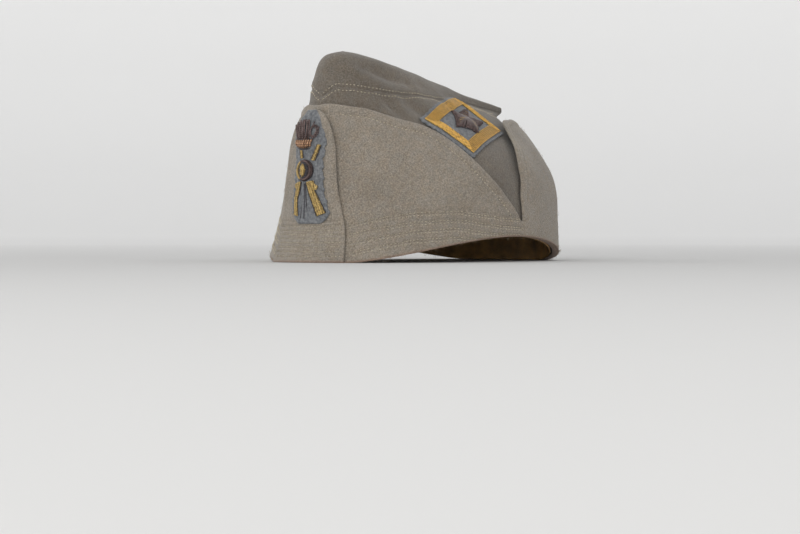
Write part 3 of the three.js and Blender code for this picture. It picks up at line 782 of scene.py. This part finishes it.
def on_front(x, z, d):
    """Places of the front badge: the point at depth d over the crown whose X and Z are x and z, found
    by Newton's method on the angle and the height."""
    x, z, d = np.broadcast_arrays(*(np.asarray(q, float) for q in (x, z, d)))
    t, v = x / 90, np.clip(z / 16, 0.2, 6)
    for _ in range(12):
        miss = crown_point(t, v) + d[..., None] * crown_normal(t, v) - np.stack([x, 0 * x, z], -1)
        pt, pv = tangents(t, v)
        det = pt[..., 0] * pv[..., 2] - pv[..., 0] * pt[..., 2]
        t = t - (pv[..., 2] * miss[..., 0] - pv[..., 0] * miss[..., 2]) / det
        v = v - (pt[..., 0] * miss[..., 2] - pt[..., 2] * miss[..., 0]) / det
    return layer(t, v, d), crown_normal(t, v)


def laid_across(a, b, height, spacing, base=BADGE_FACE, lengthways=9):
    """Embroidery laid across a shape between its two edges, polylines a and b in X and Z: parallel
    threads that arch over the padding nearly as a half circle does."""
    size = max(np.linalg.norm(np.diff(np.asarray(q, float), axis=0), axis=1).sum() for q in (a, b))
    count = max(int(size / spacing), 4)
    f = np.linspace(0, 1, lengthways)
    rng = np.random.default_rng(count)
    ends = rng.normal(0, 0.13, (2, count, 1, 2))
    pa, pb = line_at(a, count)[:, None] + ends[0], line_at(b, count)[:, None] + ends[1]
    xz = pa * (1 - f[:, None]) + pb * f[:, None]
    arch = height * np.sqrt(np.maximum(1 - (2 * f - 1) ** 2, 0.0)) ** 0.8 * rng.uniform(0.85, 1.1, (count, 1))
    return on_front(xz[..., 0], xz[..., 1], base + arch)


def along_front(line, height, count=12):
    """A cord laid on the badge along a polyline in X and Z."""
    p = line_at(line, count)
    return on_front(p[:, 0], p[:, 1], BADGE_FACE + height + 0 * p[:, 0])


def make_badge_felt():
    """The blue-grey felt of the badge: a wavy-edged plate with slight upright creases."""
    z = np.linspace(23.1, 91.1, 100)[None]
    right, left = (np.interp(z, FELT_OUTLINE[:, 0], FELT_OUTLINE[:, k]) for k in (1, 2))
    wave = 0.38 * np.sin(z * 0.9) + 0.26 * np.sin(z * 1.9 + 1)
    a = edge_rows(0, 1, 0.05, 0.03)[:, None]
    x = (right - wave) * (1 - a) + (left + wave) * a
    z = z + 0 * x
    gap = np.minimum(np.minimum(x - right + wave, left + wave - x), np.minimum(z - 23, 91.2 - z))
    thick = edge_round(np.maximum(gap, 0), FELT)
    crease = 0.3 * np.cos(x * 1.6 + 0.6 * np.sin(z * 0.13)) * smooth(gap, 0.5, 3)
    middle = BADGE_DEPTH + FELT / 2
    outside = on_front(x, z, middle + thick + crease)[0]
    piece = cloth("badge_felt", outside, on_front(x, z, middle - thick)[0], np.stack([x, z], -1))
    dress(piece, "badge_felt", "badge_felt", "badge_backing")


# The badge's bars: name, the polylines of their two edges in X and Z, height of the padding. The spurs
# beside them have only the edges.
BARS = [
    ("lower_left", [(2.7, 47.6), (5.0, 40.5), (10.3, 27.8)], [(7.7, 48.4), (8.2, 43.2), (15.5, 29.6)], 1.1),
    ("lower_right", [(-4.1, 47.6), (-5.6, 43), (-6.9, 37.7), (-7.2, 28.8)],
     [(-1.3, 48), (-2.2, 43.1), (-4.3, 37.7), (-3.7, 27.9)], 1.0),
    ("upper_left", [(5.8, 61.2), (9.2, 69.9)], [(7.9, 60.4), (10.9, 69.3)], 0.9),
    ("upper_right", [(-2.1, 62.3), (-3.0, 66.4)], [(-0.3, 62.2), (-1.0, 66.6)], 0.8),
]
SPURS = [
    ([(7.6, 47.6), (8.0, 43.4)], [(10.2, 45.0), (9.6, 43.6)]),
    ([(-4.0, 47.4), (-5.2, 44.4)], [(-6.9, 46.3), (-6.6, 44.9)]),
]


def make_plume():
    """The plume: looped strands of dark bullion that fan out from their base, a round loop of two cords
    open over the felt, and the coils of copper-toned bullion that bind the base."""
    low, high = np.linspace(-5.6, 2.4, 6), np.linspace(-8.2, 2.6, 6)
    crest = 78.9 + 6.3 * np.sqrt(1 - (high / 9.6) ** 2)
    s = np.linspace(0, 1, 17)
    rise = np.sin(np.pi * s) ** 0.55
    rise[[0, -1]] = 0
    x = low[:, None] + (high - low)[:, None] * rise - (0.4 + 0.5 * rise) * np.cos(np.pi * s)
    z = 72.6 + (crest[:, None] - 72.6) * rise
    rng = np.random.default_rng(5)
    x = x + rng.normal(0, 0.2, (6, 1)) * rise
    loops = on_front(x, z, BADGE_FACE + 0.45 + 1.5 * rise ** 1.5 + 0 * x)
    threads("plume_loops", [loops], 0.37, "dark", "dark_thread", "badge_plume")
    f = np.linspace(0, 1, 9)
    foot = np.linspace(-5.0, 5.6, 6)[:, None]
    head = np.linspace(-8.6, 9.2, 6)[:, None]
    x = foot + (head - foot) * f ** 0.8
    z = 72.8 + (78.0 + 7.0 * np.sqrt(1 - (head / 9.9) ** 2) - 72.8) * f
    under = on_front(x, z, BADGE_FACE + 0.35 + 1.0 * np.sin(np.pi * (0.15 + 0.8 * f)) + 0 * x)
    threads("plume_strands", [under], 0.3, "dark", "dark_thread")
    turn = np.linspace(0.35, 2 * np.pi + 0.35, 26)
    rings = [on_front(6.4 + w * np.cos(turn), 77.9 + h * np.sin(turn), BADGE_FACE + up + 0 * turn)
             for w, h, up in ((1.9, 2.9, 1.2), (2.7, 3.7, 0.8))]
    threads("plume_ring", rings, 0.4, "dark", "dark_thread")
    coils = np.linspace(-6.3, 5.4, 8)
    f = np.linspace(0, 1, 8)
    x = coils[:, None] * (1.04 - 0.2 * f)
    z = 73.3 - 5.4 * f * (1 - 0.0045 * coils[:, None] ** 2)
    bound = on_front(x, z, BADGE_FACE + 0.5 + 0.9 * np.sin(np.pi * f) + 0 * x)
    threads("plume_base_coils", [bound], 0.68 * np.array([0.75, 0.95, 1, 1, 1, 1, 0.9, 0.6]), "copper",
            "gold_thread", "badge_plume_band", sides=8)
    cords = [along_front([(-7.3, 73.6), (-0.5, 73.0), (6.4, 73.2)], 1.0),
             along_front([(-5.4, 67.9), (-0.4, 67.2), (4.6, 67.7)], 0.5)]
    threads("plume_base_cords", cords, 0.3, "black", "dark_thread")


def make_boss():
    """The boss: a padded ring wrapped in gold on one side and dark on the other, a black oval in its
    middle and a gold bead on that."""
    angle = np.linspace(0, 2 * np.pi, 40)[:-1]
    f = np.linspace(0, 1, 8)
    x = BOSS_X + (3.9 + 2.2 * f) * np.cos(angle)[:, None]
    z = BOSS_Z + (4.8 + 1.2 * f) * np.sin(angle)[:, None]
    ring = on_front(x, z, BADGE_FACE + 0.3 + 1.3 * np.sqrt(1 - (2 * f - 1) ** 2) + 0 * x)
    gold = np.cos(angle) < -0.45
    threads("boss_ring_gold", [(ring[0][gold], ring[1][gold])], 0.42, "gold", "gold_thread", "badge_boss")
    threads("boss_ring_dark", [(ring[0][~gold], ring[1][~gold])], 0.42, "dark", "dark_thread")
    oval = [(0.9 + w, BOSS_Z + h) for w, h in ((0, -5.2), (-2.9, -3.7), (-4.0, 0), (-2.9, 3.7), (0, 5.2))]
    over = [(1.8 - x, z) for x, z in oval]
    threads("boss_oval", [laid_across(oval, over, 0.8, 0.45, BADGE_FACE + 0.8)], 0.3, "black", "dark_thread")
    bead = [(1.1 + w, BOSS_Z + h) for w, h in ((0, -3.5), (-1.3, -2.2), (-1.6, 0), (-1.3, 2.2), (0, 3.5))]
    over = [(2.2 - x, z) for x, z in bead]
    threads("boss_bead", [laid_across(bead, over, 0.9, 0.45, BADGE_FACE + 1.7)], 0.3, "gold", "gold_thread")
    turn = np.linspace(0, 2 * np.pi, 50)
    rim = on_front(BOSS_X + 6.4 * np.cos(turn), BOSS_Z + 6.2 * np.sin(turn), BADGE_FACE + 0.3 + 0 * turn)
    threads("boss_cord", [rim], 0.34, "black", "dark_thread")


def make_bars():
    """The four padded bars: gold thread laid across them, small spurs, and a dark cord along each edge."""
    for name, one, two, height in BARS:
        laid = [laid_across(one, two, height, 0.5)]
        threads(f"bar_{name}", laid, 0.3, "gold", "gold_thread", f"badge_bar_{name}")
    threads("bar_spurs", [laid_across(a, b, 0.5, 0.5) for a, b in SPURS], 0.3, "gold", "gold_thread")
    cords = [along_front([(x + side * 0.35, z) for x, z in edge], 0.25)
             for _, one, two, _ in BARS for side, edge in ((-1, one), (1, two))]
    cords += [along_front([(x, 25.5 + 0.6 * abs(x)), (x * 0.5 + 0.6, 36), (x * 0.25 + 0.8, 47)], -0.05)
              for x in (-1.6, 1.2, 4.0)]
    threads("bar_cords", cords, 0.3, "black", "dark_thread")


def on_patch(along, down, d):
    """Places of the rank patch: along and down run from -1 to 1 over it. The flat point between its
    corners is moved straight to the crown at depth d, by Newton's method on the angle and height."""
    along, down, d = np.broadcast_arrays(*(np.asarray(q, float) for q in (along, down, d)))
    way = unit(PATCH["top"] + PATCH["rear"] - PATCH["bottom"] - PATCH["front"])
    fall = PATCH["bottom"] + PATCH["rear"] - PATCH["front"] - PATCH["top"]
    fall = unit(fall - (fall @ way) * way)
    f, g = ((along + 1) / 2)[..., None], ((down + 1) / 2)[..., None]
    target = (PATCH["front"] * (1 - f) + PATCH["top"] * f) * (1 - g)
    target = target + (PATCH["bottom"] * (1 - f) + PATCH["rear"] * f) * g
    t, v = np.full(d.shape, np.pi / 2), np.full(d.shape, 5.6)
    for _ in range(14):
        miss = crown_point(t, v) - target
        pt, pv = tangents(t, v)
        p, q, r, s = pt @ way, pv @ way, pt @ fall, pv @ fall
        det = p * s - q * r
        t = t - (s * (miss @ way) - q * (miss @ fall)) / det
        v = v - (p * (miss @ fall) - r * (miss @ way)) / det
    return layer(t, v, d), crown_normal(t, v)


def make_patch_felt():
    """The patch's felt: a plate with small scallops along its sides and a rounded edge."""
    a = edge_rows(-1, 1, 0.05, 0.035)[:, None]
    b = -edge_rows(-1, 1, 0.07, 0.05)[None]
    gap = np.minimum((1 - np.abs(a)) * PATCH_HALF[0], (1 - np.abs(b)) * PATCH_HALF[1])
    thick = edge_round(gap, FELT)
    sides = a * (1 + 0.013 * np.sin(b * 34)), b * (1 + 0.02 * np.sin(a * 52))
    middle = PATCH_DEPTH + FELT / 2 + 0.25 * smooth(np.abs(a), 0.9, 1) + 0.25 * smooth(np.abs(b), 0.9, 1)
    outside, inside = (on_patch(*sides, middle + k * thick)[0] for k in (1, -1))
    uv = np.stack(np.broadcast_arrays(a * PATCH_HALF[0], b * PATCH_HALF[1]), -1)
    piece = cloth("rank_felt", outside, inside, uv)
    dress(piece, "badge_felt", "badge_felt", "rank_backing")


def make_braid():
    """The gold braid round the patch: fine cords side by side that run along each side to mitred
    corners and rise and fall a little, the innermost and the outermost lying higher."""
    inner, outer = np.array([0.74, 0.55]), np.array([0.89, 0.875])
    corners = np.array([(-1, -1), (1, -1), (1, 1), (-1, 1)], float)
    f = np.linspace(0, 1, 60)
    groups = []
    for k in range(4):
        start, end = corners[k], corners[(k + 1) % 4]
        for j in range(8):
            size = inner + (outer - inner) * j / 7
            ab = (start * size)[None] * (1 - f[:, None]) + (end * size)[None] * f[:, None]
            bob = 0.07 * np.sin(f * (75 if k % 2 else 110) + 2.1 * j)
            arch = BRAID_DEPTH + 0.45 + bob + (0.2 if j in (0, 7) else 0.0)
            groups.append(on_patch(ab[:, 0], ab[:, 1], arch))
    threads("rank_braid", groups, 0.4, "braid", "braid", "rank_border", sides=5)


def make_star():
    """The padded five-pointed star: on each arm, threads run from its raised middle line out to its two
    edges, so that the arm has a ridge, with a few short gold threads laid on it as painted glints."""
    rng = np.random.default_rng(9)
    f = np.linspace(0, 1, 7)[None, :, None]
    groups = []
    for k in range(5):
        tip_way = math.radians(33 + 72 * k)
        tip = np.array([math.cos(tip_way), math.sin(tip_way)]) * rng.uniform(10.8, 13.2)
        for side in (-1, 1):
            way = tip_way + side * math.radians(36)
            notch = np.array([math.cos(way), math.sin(way)]) * 8.0
            s = np.linspace(0, 1, 17)[:, None]
            edge = notch * (1 - s) + tip * s + rng.normal(0, 0.24, (17, 2))
            xy = (tip * s * 0.92)[:, None] * (1 - f) + edge[:, None] * f
            arch = BRAID_DEPTH + 0.5 + 2.3 * (1 - f[..., 0]) ** 0.6 * (1 - 0.5 * s)
            place = on_patch(xy[..., 0] * 1.55 / PATCH_HALF[0], -xy[..., 1] * 0.95 / PATCH_HALF[1], arch)
            groups.append(place)
    threads("rank_star", groups, 0.42, "dark", "dark_thread", "rank_star")
    # Painted glints: short gold threads laid over the dark star where light glints on its bullion.
    glints = [(p[2:14:5, 1:5] + 0.25 * n[2:14:5, 1:5], n[2:14:5, 1:5]) for p, n in groups[1::3]]
    threads("rank_star_glints", glints, 0.24, "gold", "gold_thread")
    rim = [(p[:, -1], n[:, -1]) for p, n in groups]
    threads("rank_star_cord", rim, 0.34, "black", "dark_thread")


def make_fibres():
    """Loose wool fibres: short bent hairs that lie off the flaps, and thicker fuzz along the rim."""
    sizes = bpy.context.scene.side_cap_sizes
    rng = np.random.default_rng(17)
    count = sizes.fibre_count
    t = rng.uniform(-np.pi, np.pi, count)
    rim = rng.random(count) < 0.45
    v = np.where(rim, rng.uniform(0, 0.1, count), rng.uniform(0, 1, count) * flap_ring(t))
    root = layer(t, v, standoff(t, v) + WOOL * np.where(rim, 0.6, 1.0))
    n = crown_normal(t, v)
    n[rim] = unit(n[rim] - [0, 0, 0.9])
    way = unit(rng.normal(size=(count, 3)))
    side = unit(way - (way * n).sum(-1, keepdims=True) * n)
    bend = unit(np.cross(n, side)) * rng.normal(0, 0.5, (count, 1))
    length = sizes.fibre_length / MM * rng.uniform(0.35, 1.0, (count, 1, 1))
    s = np.linspace(0, 1, 4)[None, :, None]
    rise = rng.uniform(0.12, 0.55, (count, 1, 1))
    path = root[:, None] - 0.1 * n[:, None]
    path = path + length * (s * side[:, None] + s**2 * bend[:, None] + rise * np.sin(s * 2.2) * n[:, None])
    path[..., 2] = np.maximum(path[..., 2], 0.06)
    up = np.broadcast_to(n[:, None], path.shape)
    threads("wool_fibres", [(path, up)], 0.05, "fibre", "flap_wool", sides=3)


def aim(thing, place, target):
    """Puts a camera or lamp at place and points it at target."""
    thing.location = place
    thing.rotation_euler = (Vector(target) - Vector(place)).to_track_quat("-Z", "Y").to_euler()


def make_camera():
    """A camera that sees the cap from the photograph's side and at its scale, just above the floor."""
    data = bpy.data.cameras.new("camera")
    data.lens = LENS
    data.sensor_width = 36
    data.clip_end = 50
    camera = bpy.data.objects.new("camera", data)
    bpy.context.scene.collection.objects.link(camera)
    distance = LENS / 36 * IMAGE_WIDE / PIXELS_PER_MM * MM
    a, e = math.radians(VIEW_AZIMUTH), math.radians(VIEW_ELEVATION)
    toward = Vector((math.sin(a) * math.cos(e), -math.cos(a) * math.cos(e), math.sin(e)))
    right = Vector((math.cos(a), math.sin(a), 0))
    aside = (CAP_SEEN_AT[0] - IMAGE_WIDE / 2) / PIXELS_PER_MM * MM
    above = (IMAGE_HIGH / 2 - CAP_SEEN_AT[1]) / PIXELS_PER_MM * MM
    target = Vector((0, 0, CAP_MIDDLE)) - right * aside - toward.cross(right) * above
    aim(camera, target + toward * distance, target)
    bpy.context.scene.camera = camera


# Lamps of the stage: name, place, side length, power
LAMPS = [
    ("key", (0.9, -2.2, 0.85), 1.7, 23),
    ("left", (-1.9, -1.2, 0.9), 1.6, 6),
]


def make_stage():
    """A plain pale floor that curves up into a low round backdrop, a pale sky brighter at the horizon,
    and soft lamps from the front and the left."""
    profile = np.array([(0, 0), (1.0, 0), (2.0, 0), (2.7, 0.02), (3.3, 0.16), (3.7, 0.45), (3.9, 0.85),
                        (3.95, 1.3)])
    angle = np.linspace(0, 2 * np.pi, 97)
    points = np.stack([profile[:, 0, None] * np.cos(angle), profile[:, 0, None] * np.sin(angle),
                       profile[:, 1, None] + 0 * angle], -1)
    mesh = bpy.data.meshes.new("floor")
    mesh.from_pydata(points.reshape(-1, 3).tolist(), [], grid_faces(len(profile), len(angle)).tolist())
    mesh.polygons.foreach_set("use_smooth", np.ones(len(mesh.polygons), bool))
    floor = bpy.data.objects.new("floor", mesh)
    bpy.context.scene.collection.objects.link(floor)
    weld(floor)
    mesh.materials.append(studio_paper("Matt studio paper", bpy.context.scene.side_cap_colours.paper))
    world = bpy.data.worlds.new("pale sky")
    world.use_nodes = True
    tree = world.node_tree
    way = node(tree, "ShaderNodeTexCoord")
    parts = node(tree, "ShaderNodeSeparateXYZ", {"Vector": way.outputs["Generated"]})
    sky = ramp(tree, parts.outputs["Z"], (0.0, (1.0, 1.0, 1.0, 1)), (0.4, (0.9, 0.9, 0.895, 1)),
               (1.0, (0.3, 0.3, 0.3, 1)))
    background = tree.nodes["Background"]
    tree.links.new(sky, background.inputs["Color"])
    background.inputs["Strength"].default_value = 1.25
    bpy.context.scene.world = world
    for name, place, size, power in LAMPS:
        data = bpy.data.lights.new(name, "AREA")
        data.size = size
        data.energy = power
        data.color = srgb("#fcfaf6")
        lamp = bpy.data.objects.new(name, data)
        bpy.context.scene.collection.objects.link(lamp)
        aim(lamp, place, (0, 0, 0.06))
    bpy.context.scene.view_settings.view_transform = "Standard"


def colour_property(name, description, code):
    """A colour a user can change, from an sRGB hex default."""
    return bpy.props.FloatVectorProperty(name=name, description=description, default=srgb(code), size=3,
                                         min=0.0, max=1.0, subtype="COLOR")


class SideCapSizes(bpy.types.PropertyGroup):
    """Sizes of the cap's softness, stitching and fibres."""
    dents: bpy.props.FloatProperty(name="Dents", description="How deep the crown's dents are",
                                   default=1.0, min=0.0, max=1.5, subtype="FACTOR")
    stitch_pitch: bpy.props.FloatProperty(name="Stitch pitch", description="Distance from stitch to stitch",
                                          default=0.0023, min=0.0015, max=0.006, subtype="DISTANCE",
                                          unit="LENGTH")
    stitch_radius: bpy.props.FloatProperty(name="Stitch radius", description="Half the thread's thickness",
                                           default=0.00028, min=0.0002, max=0.0006, subtype="DISTANCE",
                                           unit="LENGTH")
    fibre_count: bpy.props.IntProperty(name="Fibres", description="Number of loose wool fibres",
                                       default=2200, min=0, max=6000)
    fibre_length: bpy.props.FloatProperty(name="Fibre length", description="Length of the longest fibres",
                                          default=0.0028, min=0.0005, max=0.006, subtype="DISTANCE",
                                          unit="LENGTH")


class SideCapColours(bpy.types.PropertyGroup):
    """Colours of the cap's cloths, threads and stage."""
    flap_wool: colour_property("Flap wool", "Cloth of the turned-up flaps", "#857d72")
    # Darker than the flap wool, partly as painted shade on the crown.
    crown_wool: colour_property("Crown wool", "Cloth of the crown", "#676057")
    badge_felt: colour_property("Felt", "Felt behind the badge and the rank patch", "#6d7074")
    thread: colour_property("Stitching", "Machine stitching", "#a39a88")
    gold: colour_property("Gold thread", "Bars, bead and gold side of the boss", "#a9915d")
    copper: colour_property("Copper thread", "Coils at the base of the plume", "#8f6e55")
    dark: colour_property("Dark thread", "Plume, star and dark side of the boss", "#5a4b49")
    black: colour_property("Black thread", "Outlines and the boss's oval", "#2a262c")
    braid: colour_property("Braid", "Braid round the rank patch", "#c69d50")
    fibre: colour_property("Fibre", "Loose fibres of the cloth", "#94836c")
    leather: colour_property("Leather", "Sweatband", "#b08850")
    paper: colour_property("Paper", "Floor and backdrop", "#eeeeee")


class SIDECAP_OT_stage(bpy.types.Operator):
    """Adds the floor, the lamps and the camera"""
    bl_idname = "sidecap.stage"
    bl_label = "Add stage"

    def execute(self, context):
        make_stage()
        make_camera()
        return {"FINISHED"}


class SIDECAP_OT_crown(bpy.types.Operator):
    """Adds the crown's two side panels and its top piece"""
    bl_idname = "sidecap.crown"
    bl_label = "Add crown"

    def execute(self, context):
        make_crown_side(1)
        make_crown_side(-1)
        make_crown_top()
        return {"FINISHED"}


class SIDECAP_OT_flaps(bpy.types.Operator):
    """Adds the turned-up cloth and the front flap"""
    bl_idname = "sidecap.flaps"
    bl_label = "Add flaps"

    def execute(self, context):
        make_curtain()
        make_front_flap()
        return {"FINISHED"}


class SIDECAP_OT_sweatband(bpy.types.Operator):
    """Adds the leather band inside the rim"""
    bl_idname = "sidecap.sweatband"
    bl_label = "Add sweatband"

    def execute(self, context):
        make_sweatband()
        return {"FINISHED"}


class SIDECAP_OT_stitching(bpy.types.Operator):
    """Adds the machine stitching"""
    bl_idname = "sidecap.stitching"
    bl_label = "Add stitching"

    def execute(self, context):
        make_stitching()
        return {"FINISHED"}


class SIDECAP_OT_badge(bpy.types.Operator):
    """Adds the front badge: felt, plume, boss and bars"""
    bl_idname = "sidecap.badge"
    bl_label = "Add badge"

    def execute(self, context):
        make_badge_felt()
        make_plume()
        make_boss()
        make_bars()
        return {"FINISHED"}


class SIDECAP_OT_rank_patch(bpy.types.Operator):
    """Adds the patch on the left side: felt, braid and star"""
    bl_idname = "sidecap.rank_patch"
    bl_label = "Add rank patch"

    def execute(self, context):
        make_patch_felt()
        make_braid()
        make_star()
        return {"FINISHED"}


class SIDECAP_OT_fibres(bpy.types.Operator):
    """Adds the loose wool fibres"""
    bl_idname = "sidecap.fibres"
    bl_label = "Add fibres"

    def execute(self, context):
        make_fibres()
        return {"FINISHED"}


OPERATORS = (
    SIDECAP_OT_stage, SIDECAP_OT_crown, SIDECAP_OT_flaps, SIDECAP_OT_sweatband, SIDECAP_OT_stitching,
    SIDECAP_OT_badge, SIDECAP_OT_rank_patch, SIDECAP_OT_fibres,
)


class SIDECAP_PT_panel(bpy.types.Panel):
    """The side cap's values and buttons."""
    bl_label = "Side Cap"
    bl_idname = "SIDECAP_PT_panel"
    bl_space_type = "VIEW_3D"
    bl_region_type = "UI"
    bl_category = "Side Cap"

    def draw(self, context):
        for group in (context.scene.side_cap_sizes, context.scene.side_cap_colours):
            box = self.layout.box()
            for key in group.__annotations__:
                box.prop(group, key)
        for made in OPERATORS:
            self.layout.operator(made.bl_idname)


def register():
    """Registers the values, the operators and the panel."""
    for made in (SideCapSizes, SideCapColours, *OPERATORS, SIDECAP_PT_panel):
        bpy.utils.register_class(made)
    bpy.types.Scene.side_cap_sizes = bpy.props.PointerProperty(type=SideCapSizes)
    bpy.types.Scene.side_cap_colours = bpy.props.PointerProperty(type=SideCapColours)


def unregister():
    """Takes them away again."""
    del bpy.types.Scene.side_cap_sizes, bpy.types.Scene.side_cap_colours
    for made in (SIDECAP_PT_panel, *reversed(OPERATORS), SideCapColours, SideCapSizes):
        bpy.utils.unregister_class(made)


def main():
    """Builds every piece in order."""
    register()
    for made in OPERATORS:
        name = made.bl_idname.split(".")[1]
        if getattr(bpy.ops.sidecap, name)() != {"FINISHED"}:
            raise RuntimeError(f"{made.bl_label} did not finish")


if __name__ == "__main__":
    main()
